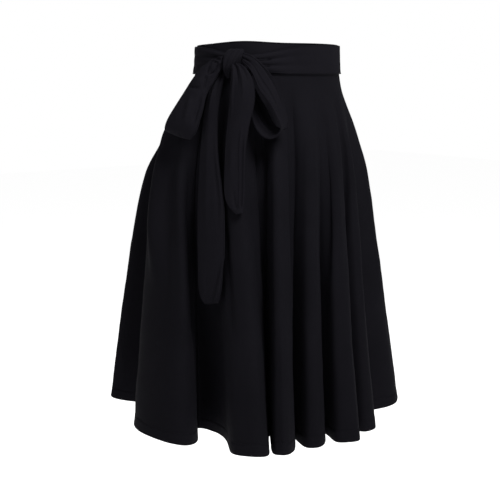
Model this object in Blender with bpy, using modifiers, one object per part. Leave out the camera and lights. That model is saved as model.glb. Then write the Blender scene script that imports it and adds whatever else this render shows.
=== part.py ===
"""Flared skirt: knee-length, hanging in deep folds, with a contoured waistband and a sash tied in a bow.

Metres, +Z up. The front faces -Y and the wearer's left is +X. The origin is the middle of the waist's top edge,
where the wearer holds the skirt up, and the hem hangs below it. An azimuth is counted in degrees round the
vertical axis, from the front towards the wearer's left.
"""
import math
from collections import namedtuple

import bpy
import numpy as np

# Driving sizes of the cut
BAND_HEIGHT = 0.045
BAND_RISE = 0.0035         # the top edge stands higher where the bow pulls on it
BAND_RISE_AZIMUTH = -58.0
BAND_RISE_SPREAD = 22.0
BAND_DIP = 0.004           # and lower at the back
HIP_DROP = 0.20            # from the waist's top edge to the fullest level
HIP_REACH = 0.17
BELOW_HIP = 0.395          # cloth length from there to the hem
HEM_DEPTH = 0.017          # the turned and stitched hem
SEAM_GAP = 0.0003
SEAM_DRAW = 0.0005         # drawn in at a seam's outside, where the walls' inner edges lean together
SASH_STAND = 0.0008        # the sash lies this far off the waistband, which is curved both ways
SASH_SPREAD = 0.5          # how far its edge stands off for each metre that it hangs below the waistband

# Walls of the cloth
SKIRT_WALL = 0.0014
HEM_WALL = 0.0024
BAND_WALL = 0.0020
SASH_WALL = 0.0020
RIBBON_WALL = 0.0020

SHARP_ANGLE = 50.0         # degrees; gentler turns of the cloth are shaded smooth

# The cloth's colours
SKIRT_COLOUR = (0.0120, 0.0115, 0.0150)
SASH_COLOUR = (0.0130, 0.0125, 0.0165)
SKIRT_ROUGHNESS = 0.85
SASH_ROUGHNESS = 0.8

# The fitted form, from the waist over the hips: half width, and reach to the front and to the back
Section = namedtuple("Section", "height half_width front back")
SECTIONS = (
    Section(0.020, 0.1205, 0.0930, 0.0900),
    Section(0.000, 0.1212, 0.0935, 0.0905),
    Section(-0.045, 0.1235, 0.0955, 0.0975),
    Section(-0.080, 0.1305, 0.1010, 0.1120),
    Section(-0.120, 0.1435, 0.1080, 0.1380),
    Section(-0.160, 0.1530, 0.1120, 0.1700),
    Section(-0.200, 0.1590, 0.1135, 0.2020),
    Section(-0.250, 0.1610, 0.1135, 0.2230),
    Section(-0.320, 0.1610, 0.1130, 0.2300),
    Section(-0.640, 0.1600, 0.1155, 0.2120),
)

# The folds at the hem, one row each, going round from the right side seam. A fold rises through the middle of its
# left flank to its left shoulder, is crowned up to its right shoulder, and falls through the middle of its right
# flank to a valley, whose floor spans some degrees.
Fold = namedtuple("Fold", "rise left left_reach right right_reach crown fall valley span floor")
FRONT_FOLDS = (
    Fold(-54.5, -49.5, 0.2500, -39.5, 0.2640, 0.008, -37.4, -36.7, 0.0, 0.150),
    Fold(-36.0, -35.0, 0.2430, -32.0, 0.2510, 0.002, -26.0, -24.2, 0.0, 0.150),
    Fold(-23.0, -21.5, 0.2120, -16.5, 0.2150, 0.003, -8.6, -4.0, 0.0, 0.146),
    Fold(-5.4, -7.0, 0.2080, 0.4, 0.2235, 0.004, 7.4, 9.2, 0.0, 0.148),
    Fold(10.6, 11.7, 0.1990, 18.5, 0.2030, 0.003, 29.5, 36.5, 0.0, 0.146),
    Fold(46.0, 53.0, 0.2140, 64.0, 0.2250, 0.004, 69.6, 71.6, 0.0, 0.155),
    Fold(74.4, 79.5, 0.2160, 88.0, 0.2240, 0.006, 93.2, 96.0, 0.0, 0.155),
)
BACK_FOLDS = (
    Fold(99.6, 104.0, 0.2280, 113.0, 0.2360, 0.006, 117.2, 119.5, 0.0, 0.160),
    Fold(122.0, 125.5, 0.2380, 133.5, 0.2440, 0.004, 137.0, 139.5, 0.0, 0.165),
    Fold(143.4, 147.5, 0.2440, 158.0, 0.2520, 0.006, 161.6, 165.0, 4.0, 0.170),
    Fold(169.6, 174.0, 0.2520, 183.0, 0.2580, 0.005, 186.6, 189.0, 0.0, 0.172),
    Fold(191.6, 195.5, 0.2540, 206.0, 0.2620, 0.006, 209.2, 211.5, 0.0, 0.170),
    Fold(214.4, 219.5, 0.2580, 231.0, 0.2620, 0.006, 231.0, 237.0, 0.0, 0.165),
    Fold(251.0, 260.0, 0.2380, 291.0, 0.2440, 0.009, 290.6, 286.5, 15.0, 0.159),
)
SEAM_RIGHT = -82.0         # where the side seams meet the waistband
SEAM_LEFT = 94.0
DRAWN_AZIMUTH = 251.0      # behind the right side the cloth hangs from further back, which spreads the last fold
DRAWN_BACK = 14.0
DRAWN_REACH = 26.0
FLARE_START_FRONT = -0.070
FLARE_START_BACK = -0.047
FLARE_EASE = 0.05

# The skirt's rows, as shares of each hanging length
SKIRT_ROWS = (0.0, 0.04, 0.09, 0.16, 0.25, 0.38, 0.56, 0.78)
POINTS_PER_SPAN = 3
SEAM_SAMPLES = 400

# The waistband's rows and columns
BAND_COLUMNS = 27
BAND_ROWS = 4
BAND_EDGE = 0.8            # degrees from each seam to the next column


def hermite(knots, values, at):
    """A smooth curve through a table's column, with its slopes taken from the neighbouring rows."""
    knots = np.asarray(knots, float)
    values = np.asarray(values, float)
    slopes = np.gradient(values, knots)
    at = np.clip(at, knots[0], knots[-1])
    low = np.clip(np.searchsorted(knots, at) - 1, 0, len(knots) - 2)
    step = knots[low + 1] - knots[low]
    s = (at - knots[low]) / step
    rise = values[low + 1] - values[low]
    bend_low = slopes[low] * step - rise
    bend_high = rise - slopes[low + 1] * step
    return values[low] + s * rise + s * (1 - s) * ((1 - s) * bend_low + s * bend_high)


def spline(points, per_span, closed=False):
    """A cubic spline through points, its curvature even, sampled a fixed number of times between each two."""
    points = np.asarray(points, float)
    if closed:
        points = np.vstack([points, points[:1]])
    steps = np.sqrt(np.linalg.norm(np.diff(points, axis=0), axis=1))
    count = len(points)
    matrix = np.zeros((count, count))
    goal = np.zeros_like(points)
    slopes = np.diff(points, axis=0) / steps[:, None]
    for k in range(1, count - 1):
        matrix[k, k - 1:k + 2] = steps[k - 1], 2 * (steps[k - 1] + steps[k]), steps[k]
        goal[k] = 6 * (slopes[k] - slopes[k - 1])
    if closed:
        matrix[0, 0] = matrix[-1, 0] = 1.0
        matrix[0, -1] = -1.0
        matrix[-1, 0] = 2 * (steps[0] + steps[-1])
        matrix[-1, 1] = steps[0]
        matrix[-1, -2] = steps[-1]
        goal[-1] = 6 * (slopes[0] - slopes[-1])
    else:
        matrix[0, 0] = matrix[-1, -1] = 1.0
    bends = np.linalg.solve(matrix, goal)
    share = np.arange(per_span) / per_span
    rows = []
    for k in range(count - 1):
        a, b = 1 - share[:, None], share[:, None]
        cubic = (a**3 - a) * bends[k] + (b**3 - b) * bends[k + 1]
        rows.append(a * points[k] + b * points[k + 1] + cubic * steps[k] ** 2 / 6)
    if not closed:
        rows.append(points[-1:])
    return np.vstack(rows)


def polar(azimuth, reach):
    """Plan points at azimuths in degrees."""
    angle = np.radians(azimuth)
    return np.stack([reach * np.sin(angle), -reach * np.cos(angle)], axis=-1)


def fitted_reach(azimuth, height):
    """How far the fitted form stands from the axis."""
    heights = [section.height for section in reversed(SECTIONS)]
    half_width, front, back = (
        hermite(heights, [getattr(section, side) for section in reversed(SECTIONS)], height)
        for side in ("half_width", "front", "back")
    )
    angle = np.radians(azimuth)
    depth = np.where(np.cos(angle) > 0, front, back)
    return 1 / np.hypot(np.sin(angle) / half_width, np.cos(angle) / depth)


def worn_point(azimuth, height, stand):
    """A point that stands off the fitted form."""
    azimuth, height, stand = np.broadcast_arrays(azimuth, height, stand)
    plan = polar(azimuth, fitted_reach(azimuth, height) + stand)
    return np.concatenate([plan, height[..., None]], axis=-1)


def fold_points(folds, floor):
    """The hem's leading points, going round. The first fold rises from the given floor."""
    rows = []
    for fold in folds:
        middle = (fold.left + fold.right) / 2
        crest = (fold.left_reach + fold.right_reach) / 2 + fold.crown
        rows.append((fold.rise, (floor + fold.left_reach) / 2))
        rows += [(fold.left, fold.left_reach), (middle, crest), (fold.right, fold.right_reach)]
        rows.append((fold.fall, (fold.right_reach + fold.floor) / 2))
        rows.append((fold.valley - fold.span / 2, fold.floor))
        if fold.span:
            rows.append((fold.valley + fold.span / 2, fold.floor))
        floor = fold.floor
    return rows


def arc_lengths(points):
    return np.concatenate([[0], np.cumsum(np.linalg.norm(np.diff(points, axis=0), axis=1))])


def waist_azimuths(start, end, shares):
    """Azimuths at the given shares of the waist seam's length from one azimuth to another."""
    azimuths = np.linspace(start, end, SEAM_SAMPLES)
    seam = polar(azimuths, fitted_reach(azimuths, -BAND_HEIGHT))
    lengths = arc_lengths(seam)
    waist = np.interp(shares, lengths / lengths[-1], azimuths)
    near = np.clip((waist - DRAWN_AZIMUTH) / DRAWN_REACH, -1, 1)
    return waist - DRAWN_BACK * np.cos(near * math.pi / 2) ** 2


def panel_columns(per_span):
    """For the front and the back panel: plan points along the hem, and the azimuths where they meet the waist.

    The right side seam runs down to where the last fold's valley begins, and the left one to the front's last
    valley."""
    rows = fold_points(FRONT_FOLDS + BACK_FOLDS, BACK_FOLDS[-1].floor)
    leads = polar(*np.array(rows[-2:] + rows[:-2]).T)
    hem = spline(leads, per_span, closed=True)
    hem = np.vstack([hem, hem[:1]])
    split = (len(fold_points(FRONT_FOLDS, 0.0)) + 1) * per_span
    panels = []
    for columns, start, end in (
        (hem[:split + 1], SEAM_RIGHT, SEAM_LEFT),
        (hem[split:], SEAM_LEFT, SEAM_RIGHT + 360),
    ):
        lengths = arc_lengths(columns)
        panels.append((columns, waist_azimuths(start, end, lengths / lengths[-1])))
    return panels


def skirt_surface(columns, waist, shares):
    """The panel's outer face: each column runs from the fitted form at the waist to its place in the hem."""
    reach = np.linalg.norm(columns, axis=1)
    hem_height = -(HIP_DROP + np.sqrt(BELOW_HIP**2 - (reach - HIP_REACH) ** 2))
    top = -(BAND_HEIGHT + SEAM_GAP)
    backness = (1 - np.cos(np.radians(waist))) / 2
    flare_start = FLARE_START_FRONT + (FLARE_START_BACK - FLARE_START_FRONT) * backness
    hem_form = polar(waist, fitted_reach(waist, hem_height))
    rows = []
    for share in shares:
        height = top + share * (hem_height - top)
        fall = np.clip((flare_start - height) / (flare_start - hem_height), 0, 1)
        flare = fall**2 * (1 + FLARE_EASE) / (fall + FLARE_EASE)
        plan = polar(waist, fitted_reach(waist, height)) + flare[:, None] * (columns - hem_form)
        rows.append(np.column_stack([plan, height]))
    return np.array(rows)


def band_top(azimuth):
    """Height of the waistband's top edge."""
    away = (np.asarray(azimuth, float) - BAND_RISE_AZIMUTH + 180) % 360 - 180
    backness = (1 - np.cos(np.radians(azimuth))) / 2
    return BAND_RISE * np.exp(-((away / BAND_RISE_SPREAD) ** 2)) - BAND_DIP * backness


# Building blocks
def cloth_material(piece_name, colour, roughness):
    material = bpy.data.materials.new(piece_name + "_cloth")
    material.use_nodes = True
    shader = material.node_tree.nodes["Principled BSDF"]
    shader.inputs["Base Color"].default_value = (*colour, 1.0)
    shader.inputs["Roughness"].default_value = roughness
    shader.inputs["Metallic"].default_value = 0.0
    material.diffuse_color = (*colour, 1.0)
    return material


def sheet_object(name, grid, material, collection, flip=False):
    """An open surface through a grid of points, rows by columns, as an object."""
    grid = np.asarray(grid)
    rows, columns = grid.shape[:2]
    faces = []
    for i in range(rows - 1):
        for j in range(columns - 1):
            corner = i * columns + j
            face = (corner, corner + columns, corner + columns + 1, corner + 1)
            faces.append(face[::-1] if flip else face)
    mesh = bpy.data.meshes.new(name)
    mesh.from_pydata(grid.reshape(-1, 3).tolist(), [], faces)
    mesh.materials.append(material)
    mesh.shade_smooth()
    mesh.set_sharp_from_angle(angle=math.radians(SHARP_ANGLE))
    piece = bpy.data.objects.new(name, mesh)
    collection.objects.link(piece)
    return piece


def thicken(piece, wall, offset, group="", least=0.0):
    solidify = piece.modifiers.new("Wall", "SOLIDIFY")
    solidify.thickness = wall
    solidify.offset = offset
    solidify.use_even_offset = True
    solidify.use_quality_normals = True
    if group:
        solidify.vertex_group = group
        solidify.thickness_vertex_group = least


def draw_ends_in(grid, gap):
    """Moves the first and last columns inwards, to leave half a seam's gap at each end."""
    grid = grid.copy()
    for edge, inner in ((0, 1), (-1, -2)):
        along = grid[:, inner] - grid[:, edge]
        along /= np.linalg.norm(along, axis=-1, keepdims=True)
        grid[:, edge] += along * gap / 2
    return grid


# The pieces
def make_skirt(collection):
    length = HIP_DROP + BELOW_HIP - BAND_HEIGHT
    shares = SKIRT_ROWS + (1 - HEM_DEPTH / length, 1.0)
    for name, (columns, waist) in zip(("skirt_front", "skirt_back"), panel_columns(POINTS_PER_SPAN)):
        grid = draw_ends_in(skirt_surface(columns, waist, shares), SEAM_DRAW)
        material = cloth_material(name, SKIRT_COLOUR, SKIRT_ROUGHNESS)
        piece = sheet_object(name, grid, material, collection)
        hem = piece.vertex_groups.new(name="hem")
        rows, width = grid.shape[:2]
        hem.add(list(range((rows - 2) * width, rows * width)), 1.0, "REPLACE")
        thicken(piece, HEM_WALL, -1.0, "hem", SKIRT_WALL / HEM_WALL)


def make_waistband(collection):
    for name, start, end in (
        ("waistband_front", SEAM_RIGHT, SEAM_LEFT),
        ("waistband_back", SEAM_LEFT, SEAM_RIGHT + 360),
    ):
        azimuth = np.linspace(start, end, BAND_COLUMNS)
        azimuth = np.insert(azimuth, [1, BAND_COLUMNS - 1], [start + BAND_EDGE, end - BAND_EDGE])
        rows = []
        for share in np.linspace(0, 1, BAND_ROWS):
            height = band_top(azimuth) * (1 - share) - BAND_HEIGHT * share
            rows.append(worn_point(azimuth, height, 0.0))
        grid = draw_ends_in(np.array(rows), SEAM_DRAW)
        material = cloth_material(name, SKIRT_COLOUR, SKIRT_ROUGHNESS)
        piece = sheet_object(name, grid, material, collection)
        thicken(piece, BAND_WALL, -1.0)


# The sash's edges round the waist, from the bow's right side all the way to its left side: how far its top lies
# below the waistband's, and its bottom's height. The cloth is drawn together towards the knot, which raises it in
# ridges.
SashRung = namedtuple("SashRung", "azimuth drop bottom gather")
SASH = (
    SashRung(-61.0, 0.0225, -0.0385, 0.7),
    SashRung(-54.0, 0.0215, -0.0400, 1.0),
    SashRung(-46.0, 0.0195, -0.0415, 0.9),
    SashRung(-36.0, 0.0150, -0.0435, 0.7),
    SashRung(-24.0, 0.0095, -0.0455, 0.4),
    SashRung(-10.0, 0.0055, -0.0465, 0.2),
    SashRung(8.0, 0.0030, -0.0470, 0.1),
    SashRung(40.0, 0.0015, -0.0470, 0.0),
    SashRung(130.0, 0.0015, -0.0470, 0.0),
    SashRung(220.0, 0.0015, -0.0470, 0.0),
    SashRung(250.0, 0.0020, -0.0470, 0.2),
    SashRung(266.0, 0.0040, -0.0460, 0.5),
    SashRung(278.0, 0.0085, -0.0440, 0.8),
    SashRung(288.0, 0.0150, -0.0410, 1.0),
    SashRung(297.0, 0.0190, -0.0390, 0.7),
)
SASH_RIDGES = 3
SASH_RIDGE_HEIGHT = 0.0028
SASH_ROWS = 8
# Its columns lie close together in the gathers and further apart round the back
Stretch = namedtuple("Stretch", "start end columns")
SASH_STRETCHES = (
    Stretch(-61.0, 11.0, 17),
    Stretch(11.0, 247.0, 33),
    Stretch(247.0, 297.0, 12),
)


def sash_surface(azimuth, shares):
    """The sash's inner face: it lies on the waistband and lifts in ridges where it is gathered."""
    knots = [rung.azimuth for rung in SASH]
    drop, bottom, gather = (
        hermite(knots, [getattr(rung, edge) for rung in SASH], azimuth) for edge in ("drop", "bottom", "gather")
    )
    top = band_top(azimuth) - drop
    rows = []
    for share in shares:
        height = top + share * (bottom - top)
        ridge = (1 - np.cos(2 * math.pi * SASH_RIDGES * share)) / 2
        stand = SASH_STAND + gather * SASH_RIDGE_HEIGHT * ridge
        below = np.clip(-(height + BAND_HEIGHT), 0, None)
        rows.append(worn_point(azimuth, height, stand + SASH_SPREAD * below))
    return np.array(rows)


def make_sash(collection):
    columns = [np.linspace(stretch.start, stretch.end, stretch.columns) for stretch in SASH_STRETCHES]
    azimuth = np.unique(np.concatenate(columns))
    grid = sash_surface(azimuth, np.linspace(0, 1, SASH_ROWS))
    material = cloth_material("sash_wrap", SASH_COLOUR, SASH_ROUGHNESS)
    piece = sheet_object("sash_wrap", grid, material, collection)
    thicken(piece, SASH_WALL, 1.0)


# The bow's ribbons. Each rung gives the ribbon's two edges and how far its middle bows out between them.
Rung = namedtuple("Rung", "a_azimuth a_height a_stand b_azimuth b_height b_stand bow")
LOOP_BACK = (
    Rung(-68.9, -0.0200, 0.0150, -69.1, -0.0400, 0.0160, 0.002),
    Rung(-73.5, -0.0240, 0.0210, -71.5, -0.0560, 0.0220, 0.006),
    Rung(-79.5, -0.0400, 0.0320, -73.2, -0.0760, 0.0300, 0.008),
    Rung(-84.5, -0.0680, 0.0410, -72.3, -0.0950, 0.0360, 0.007),
    Rung(-87.4, -0.0910, 0.0475, -72.7, -0.1140, 0.0370, 0.006),
    Rung(-90.4, -0.1160, 0.0500, -74.0, -0.1310, 0.0365, 0.004),
    Rung(-93.0, -0.1287, 0.0430, -78.6, -0.1410, 0.0290, 0.002),
    Rung(-94.4, -0.1220, 0.0320, -82.0, -0.1330, 0.0205, -0.002),
    Rung(-92.5, -0.0960, 0.0240, -82.0, -0.1100, 0.0160, -0.003),
    Rung(-88.0, -0.0680, 0.0180, -80.5, -0.0840, 0.0130, -0.002),
    Rung(-80.5, -0.0420, 0.0120, -77.5, -0.0600, 0.0110, 0.000),
    Rung(-71.5, -0.0290, 0.0095, -71.5, -0.0430, 0.0090, 0.000),
)
LOOP_FRONT = (
    Rung(-55.6, -0.0150, 0.0150, -55.4, -0.0290, 0.0190, 0.001),
    Rung(-48.0, -0.0195, 0.0230, -48.2, -0.0430, 0.0320, 0.003),
    Rung(-39.5, -0.0360, 0.0315, -42.8, -0.0680, 0.0480, 0.005),
    Rung(-32.6, -0.0590, 0.0370, -37.8, -0.0835, 0.0570, 0.005),
    Rung(-28.1, -0.0858, 0.0392, -33.4, -0.1000, 0.0611, 0.004),
    Rung(-26.0, -0.1088, 0.0396, -30.7, -0.1170, 0.0618, 0.003),
    Rung(-29.1, -0.1219, 0.0337, -31.9, -0.1306, 0.0553, 0.000),
    Rung(-34.7, -0.1148, 0.0270, -38.0, -0.1381, 0.0452, -0.003),
    Rung(-39.3, -0.0961, 0.0215, -43.7, -0.1280, 0.0350, -0.004),
    Rung(-44.8, -0.0760, 0.0160, -48.0, -0.1060, 0.0250, -0.003),
    Rung(-49.9, -0.0560, 0.0120, -51.5, -0.0780, 0.0170, -0.002),
    Rung(-55.4, -0.0390, 0.0095, -55.6, -0.0520, 0.0110, 0.000),
)
TAIL_LONG = (
    Rung(-72.6, -0.0468, 0.0085, -67.4, -0.0462, 0.0100, 0.001),
    Rung(-75.0, -0.0600, 0.0130, -68.0, -0.0600, 0.0130, 0.003),
    Rung(-76.2, -0.0780, 0.0160, -68.2, -0.0780, 0.0160, 0.005),
    Rung(-76.6, -0.1015, 0.0160, -67.8, -0.1010, 0.0170, 0.005),
    Rung(-76.1, -0.1424, 0.0145, -65.8, -0.1415, 0.0183, 0.004),
    Rung(-75.1, -0.1833, 0.0163, -62.5, -0.1814, 0.0258, 0.004),
    Rung(-73.4, -0.2297, 0.0240, -58.6, -0.2237, 0.0383, 0.004),
    Rung(-71.6, -0.2819, 0.0340, -56.7, -0.2748, 0.0510, 0.004),
    Rung(-70.1, -0.3315, 0.0422, -56.4, -0.3222, 0.0586, 0.004),
    Rung(-68.8, -0.3684, 0.0455, -57.4, -0.3575, 0.0611, 0.003),
    Rung(-66.9, -0.3812, 0.0435, -58.7, -0.3751, 0.0595, 0.002),
)
TAIL_SHORT = (
    Rung(-61.0, -0.0330, 0.0272, -55.6, -0.0320, 0.0262, 0.001),
    Rung(-59.5, -0.0430, 0.0350, -49.0, -0.0420, 0.0400, 0.005),
    Rung(-58.9, -0.0600, 0.0390, -45.4, -0.0600, 0.0450, 0.007),
    Rung(-58.8, -0.0870, 0.0380, -44.9, -0.0870, 0.0440, 0.007),
    Rung(-59.4, -0.1160, 0.0330, -47.2, -0.1160, 0.0390, 0.006),
    Rung(-59.8, -0.1490, 0.0310, -48.8, -0.1490, 0.0360, 0.005),
    Rung(-59.2, -0.1893, 0.0350, -48.9, -0.1892, 0.0380, 0.005),
    Rung(-57.2, -0.2274, 0.0439, -48.5, -0.2257, 0.0460, 0.004),
    Rung(-51.9, -0.2452, 0.0525, -49.1, -0.2436, 0.0534, 0.002),
)
RIBBON_COLUMNS = 7
RIBBON_POINTS_PER_RUNG = 2


def ribbon_surface(rungs, across, per_span):
    """A ribbon's middle face through its rungs."""
    edge_a = np.array([worn_point(r.a_azimuth, r.a_height, r.a_stand) for r in rungs])
    edge_b = np.array([worn_point(r.b_azimuth, r.b_height, r.b_stand) for r in rungs])
    edge_a = spline(edge_a, per_span)
    edge_b = spline(edge_b, per_span)
    bow = np.interp(np.linspace(0, 1, len(edge_a)), np.linspace(0, 1, len(rungs)), [r.bow for r in rungs])
    middle = (edge_a + edge_b) / 2
    along = np.gradient(middle, axis=0)
    out = np.cross(edge_b - edge_a, along)
    out /= -np.linalg.norm(out, axis=1, keepdims=True)
    rows = []
    for k in range(len(middle)):
        shares = np.linspace(0, 1, across)
        crown = 4 * shares * (1 - shares) * bow[k]
        line = edge_a[k] + shares[:, None] * (edge_b[k] - edge_a[k])
        rows.append(line + crown[:, None] * out[k])
    return np.array(rows)


def make_ribbon(name, rungs, collection):
    grid = ribbon_surface(rungs, RIBBON_COLUMNS, RIBBON_POINTS_PER_RUNG)
    material = cloth_material(name, SASH_COLOUR, SASH_ROUGHNESS)
    piece = sheet_object(name, grid, material, collection)
    thicken(piece, RIBBON_WALL, 0.0)


# The knot is a soft wrap of the sash: rings from its top to its bottom, with each one's half width and how far its
# inner and outer side stand off.
KnotRing = namedtuple("KnotRing", "height azimuth half_width inner outer")
KNOT = (
    KnotRing(-0.0095, -60.5, 0.0045, 0.0095, 0.0155),
    KnotRing(-0.0140, -60.9, 0.0088, 0.0060, 0.0205),
    KnotRing(-0.0220, -61.5, 0.0115, 0.0056, 0.0250),
    KnotRing(-0.0320, -62.2, 0.0118, 0.0056, 0.0262),
    KnotRing(-0.0420, -63.2, 0.0092, 0.0060, 0.0240),
    KnotRing(-0.0485, -64.0, 0.0060, 0.0075, 0.0195),
    KnotRing(-0.0520, -64.3, 0.0030, 0.0100, 0.0150),
)
KNOT_SIDES = 14
KNOT_SQUARENESS = 0.75


def knot_ring(ring):
    """A rounded square of points round the knot at one height."""
    turn = np.linspace(0, 2 * math.pi, KNOT_SIDES, endpoint=False)
    across = np.sign(np.cos(turn)) * np.abs(np.cos(turn)) ** KNOT_SQUARENESS
    through = np.sign(np.sin(turn)) * np.abs(np.sin(turn)) ** KNOT_SQUARENESS
    azimuth = ring.azimuth + np.degrees(ring.half_width * across / fitted_reach(ring.azimuth, ring.height))
    stand = (ring.outer + ring.inner) / 2 + through * (ring.outer - ring.inner) / 2
    return worn_point(azimuth, ring.height, stand)


def make_knot(collection):
    rings = [knot_ring(ring) for ring in KNOT]
    points = np.vstack(rings)
    faces = [tuple(range(KNOT_SIDES - 1, -1, -1)), tuple(range(len(points) - KNOT_SIDES, len(points)))]
    for i in range(len(rings) - 1):
        for j in range(KNOT_SIDES):
            here, there = i * KNOT_SIDES, (i + 1) * KNOT_SIDES
            k = (j + 1) % KNOT_SIDES
            faces.append((here + j, here + k, there + k, there + j))
    mesh = bpy.data.meshes.new("sash_knot")
    mesh.from_pydata(points.tolist(), [], faces)
    mesh.materials.append(cloth_material("sash_knot", SASH_COLOUR, SASH_ROUGHNESS))
    mesh.shade_smooth()
    collection.objects.link(bpy.data.objects.new("sash_knot", mesh))


def main():
    for old in list(bpy.data.objects):
        bpy.data.objects.remove(old)
    collection = bpy.data.collections.new("Flared_skirt")
    bpy.context.scene.collection.children.link(collection)
    make_skirt(collection)
    make_waistband(collection)
    make_sash(collection)
    make_knot(collection)
    make_ribbon("bow_loop_back", LOOP_BACK, collection)
    make_ribbon("bow_loop_front", LOOP_FRONT, collection)
    make_ribbon("sash_tail_long", TAIL_LONG, collection)
    make_ribbon("sash_tail_short", TAIL_SHORT, collection)


main()
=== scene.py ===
"""The looks of the flared skirt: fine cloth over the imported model, its knit, folds, gathers and stitches.

Metres, +Z up. The front faces -Y and the wearer's left is +X. The origin is the middle of the waist's top
edge. An azimuth is counted in degrees round the vertical axis, from the front towards the wearer's left. A
sheet is a grid of points, its rows along the cloth from the top or from the knot, its columns across.
"""
import math
from collections import namedtuple

import bpy
import numpy as np
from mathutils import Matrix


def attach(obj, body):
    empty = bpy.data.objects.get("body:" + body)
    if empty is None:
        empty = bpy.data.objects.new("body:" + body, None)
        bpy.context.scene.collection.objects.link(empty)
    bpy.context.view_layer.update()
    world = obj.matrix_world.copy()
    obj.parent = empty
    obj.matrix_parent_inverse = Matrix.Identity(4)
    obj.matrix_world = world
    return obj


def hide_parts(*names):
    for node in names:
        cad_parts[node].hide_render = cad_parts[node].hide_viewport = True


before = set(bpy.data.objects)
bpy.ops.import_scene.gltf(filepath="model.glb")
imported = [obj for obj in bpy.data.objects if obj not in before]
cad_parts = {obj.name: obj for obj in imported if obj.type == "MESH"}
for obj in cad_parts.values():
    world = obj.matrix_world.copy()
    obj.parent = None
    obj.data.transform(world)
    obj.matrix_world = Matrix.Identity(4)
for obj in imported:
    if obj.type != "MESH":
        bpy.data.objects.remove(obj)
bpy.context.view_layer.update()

# Driving sizes of the cut, as in the model
BAND_HEIGHT = 0.045
BAND_RISE = 0.0035
BAND_RISE_AZIMUTH = -58.0
BAND_RISE_SPREAD = 22.0
BAND_DIP = 0.004
HIP_DROP = 0.20
HIP_REACH = 0.17
BELOW_HIP = 0.395
HEM_DEPTH = 0.017
SEAM_GAP = 0.0003
SASH_STAND = 0.0008
SASH_SPREAD = 0.5
PANEL_LENGTH = HIP_DROP + BELOW_HIP - BAND_HEIGHT

# Walls of the cloth
SKIRT_WALL = 0.0014
HEM_WALL = 0.0024
BAND_WALL = 0.0020
RIBBON_WALL = 0.0022
ALLOWANCE_WALL = 0.0009
ALLOWANCE_GAP = 0.0002
ALLOWANCE_STEPS = (0.0006, 0.0020, 0.0035, 0.0050, 0.0065)
SKIRT_SEAM_ROWS = slice(0, -3)
BAND_SEAM_ROWS = slice(0, -5)
WAIST_SEAM_ROWS = 8
SEAM_CALM = 0.03           # how far from a side seam the cloth's unevenness starts

# The camera stands at the wearer's right front, at the height of the waistband
VIEW_AZIMUTH = -38.0
VIEW_DISTANCE = 1.66
VIEW_HEIGHT = -0.040
FOCAL_PIXELS = 1030.0
PICTURE_PIXELS = 500.0
SENSOR = 36.0
PICTURE_DOWN = 180.0       # pixels from the horizon to the picture's middle
PICTURE_LEFT = 18.0        # pixels from the picture's middle to the garment's axis
FLOOR_HEIGHT = -1.02       # where the wearer would stand


def table(kind, *rows):
    return tuple(kind(*row) for row in rows)


# The fitted form, from the waist over the hips: half width, and reach to the front and to the back
Section = namedtuple("Section", "height half_width front back")
SECTIONS = table(
    Section,
    (0.020, 0.1205, 0.0930, 0.0900),
    (0.000, 0.1212, 0.0935, 0.0905),
    (-0.045, 0.1235, 0.0955, 0.0975),
    (-0.080, 0.1305, 0.1010, 0.1120),
    (-0.120, 0.1435, 0.1080, 0.1380),
    (-0.160, 0.1530, 0.1120, 0.1700),
    (-0.200, 0.1590, 0.1135, 0.2020),
    (-0.250, 0.1610, 0.1135, 0.2230),
    (-0.320, 0.1610, 0.1130, 0.2300),
    (-0.640, 0.1600, 0.1155, 0.2120),
)

# The folds at the hem, one row each, going round from the right side seam. A fold rises through the middle
# of its left flank to its left shoulder, is crowned up to its right shoulder, and falls through the middle of
# its right flank to a valley, whose floor spans some degrees. The first two folds stand slightly closer
# together than in the model.
Fold = namedtuple("Fold", "rise left left_reach right right_reach crown fall valley span floor")
FRONT_FOLDS = table(
    Fold,
    (-54.5, -49.5, 0.2500, -39.0, 0.2640, 0.008, -37.05, -36.75, 0.0, 0.150),
    (-36.45, -35.5, 0.2440, -32.0, 0.2510, 0.002, -26.0, -24.2, 0.0, 0.150),
    (-23.0, -21.5, 0.2120, -16.5, 0.2150, 0.003, -8.6, -4.0, 0.0, 0.146),
    (-5.4, -7.0, 0.2080, 0.4, 0.2235, 0.004, 7.4, 9.2, 0.0, 0.148),
    (10.6, 11.7, 0.1990, 18.5, 0.2030, 0.003, 29.5, 36.5, 0.0, 0.146),
    (46.0, 53.0, 0.2140, 64.0, 0.2250, 0.004, 69.6, 71.6, 0.0, 0.155),
    (74.4, 79.5, 0.2160, 88.0, 0.2240, 0.006, 93.2, 96.0, 0.0, 0.155),
)
BACK_FOLDS = table(
    Fold,
    (99.6, 104.0, 0.2280, 113.0, 0.2360, 0.006, 117.2, 119.5, 0.0, 0.160),
    (122.0, 125.5, 0.2380, 133.5, 0.2440, 0.004, 137.0, 139.5, 0.0, 0.165),
    (143.4, 147.5, 0.2440, 158.0, 0.2520, 0.006, 161.6, 165.0, 4.0, 0.170),
    (169.6, 174.0, 0.2520, 183.0, 0.2580, 0.005, 186.6, 189.0, 0.0, 0.172),
    (191.6, 195.5, 0.2540, 206.0, 0.2620, 0.006, 209.2, 211.5, 0.0, 0.170),
    (214.4, 219.5, 0.2580, 231.0, 0.2620, 0.006, 231.0, 237.0, 0.0, 0.165),
    (251.0, 260.0, 0.2380, 291.0, 0.2440, 0.009, 290.6, 286.5, 15.0, 0.159),
)
SEAM_RIGHT = -82.0
SEAM_LEFT = 94.0
# Behind the right side the cloth hangs from further back, which spreads the last fold
DRAWN_AZIMUTH = 251.0
DRAWN_BACK = 14.0
DRAWN_REACH = 26.0
FLARE_START_FRONT = -0.070
FLARE_START_BACK = -0.047
FLARE_EASE = 0.05
SEAM_SAMPLES = 400

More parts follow.
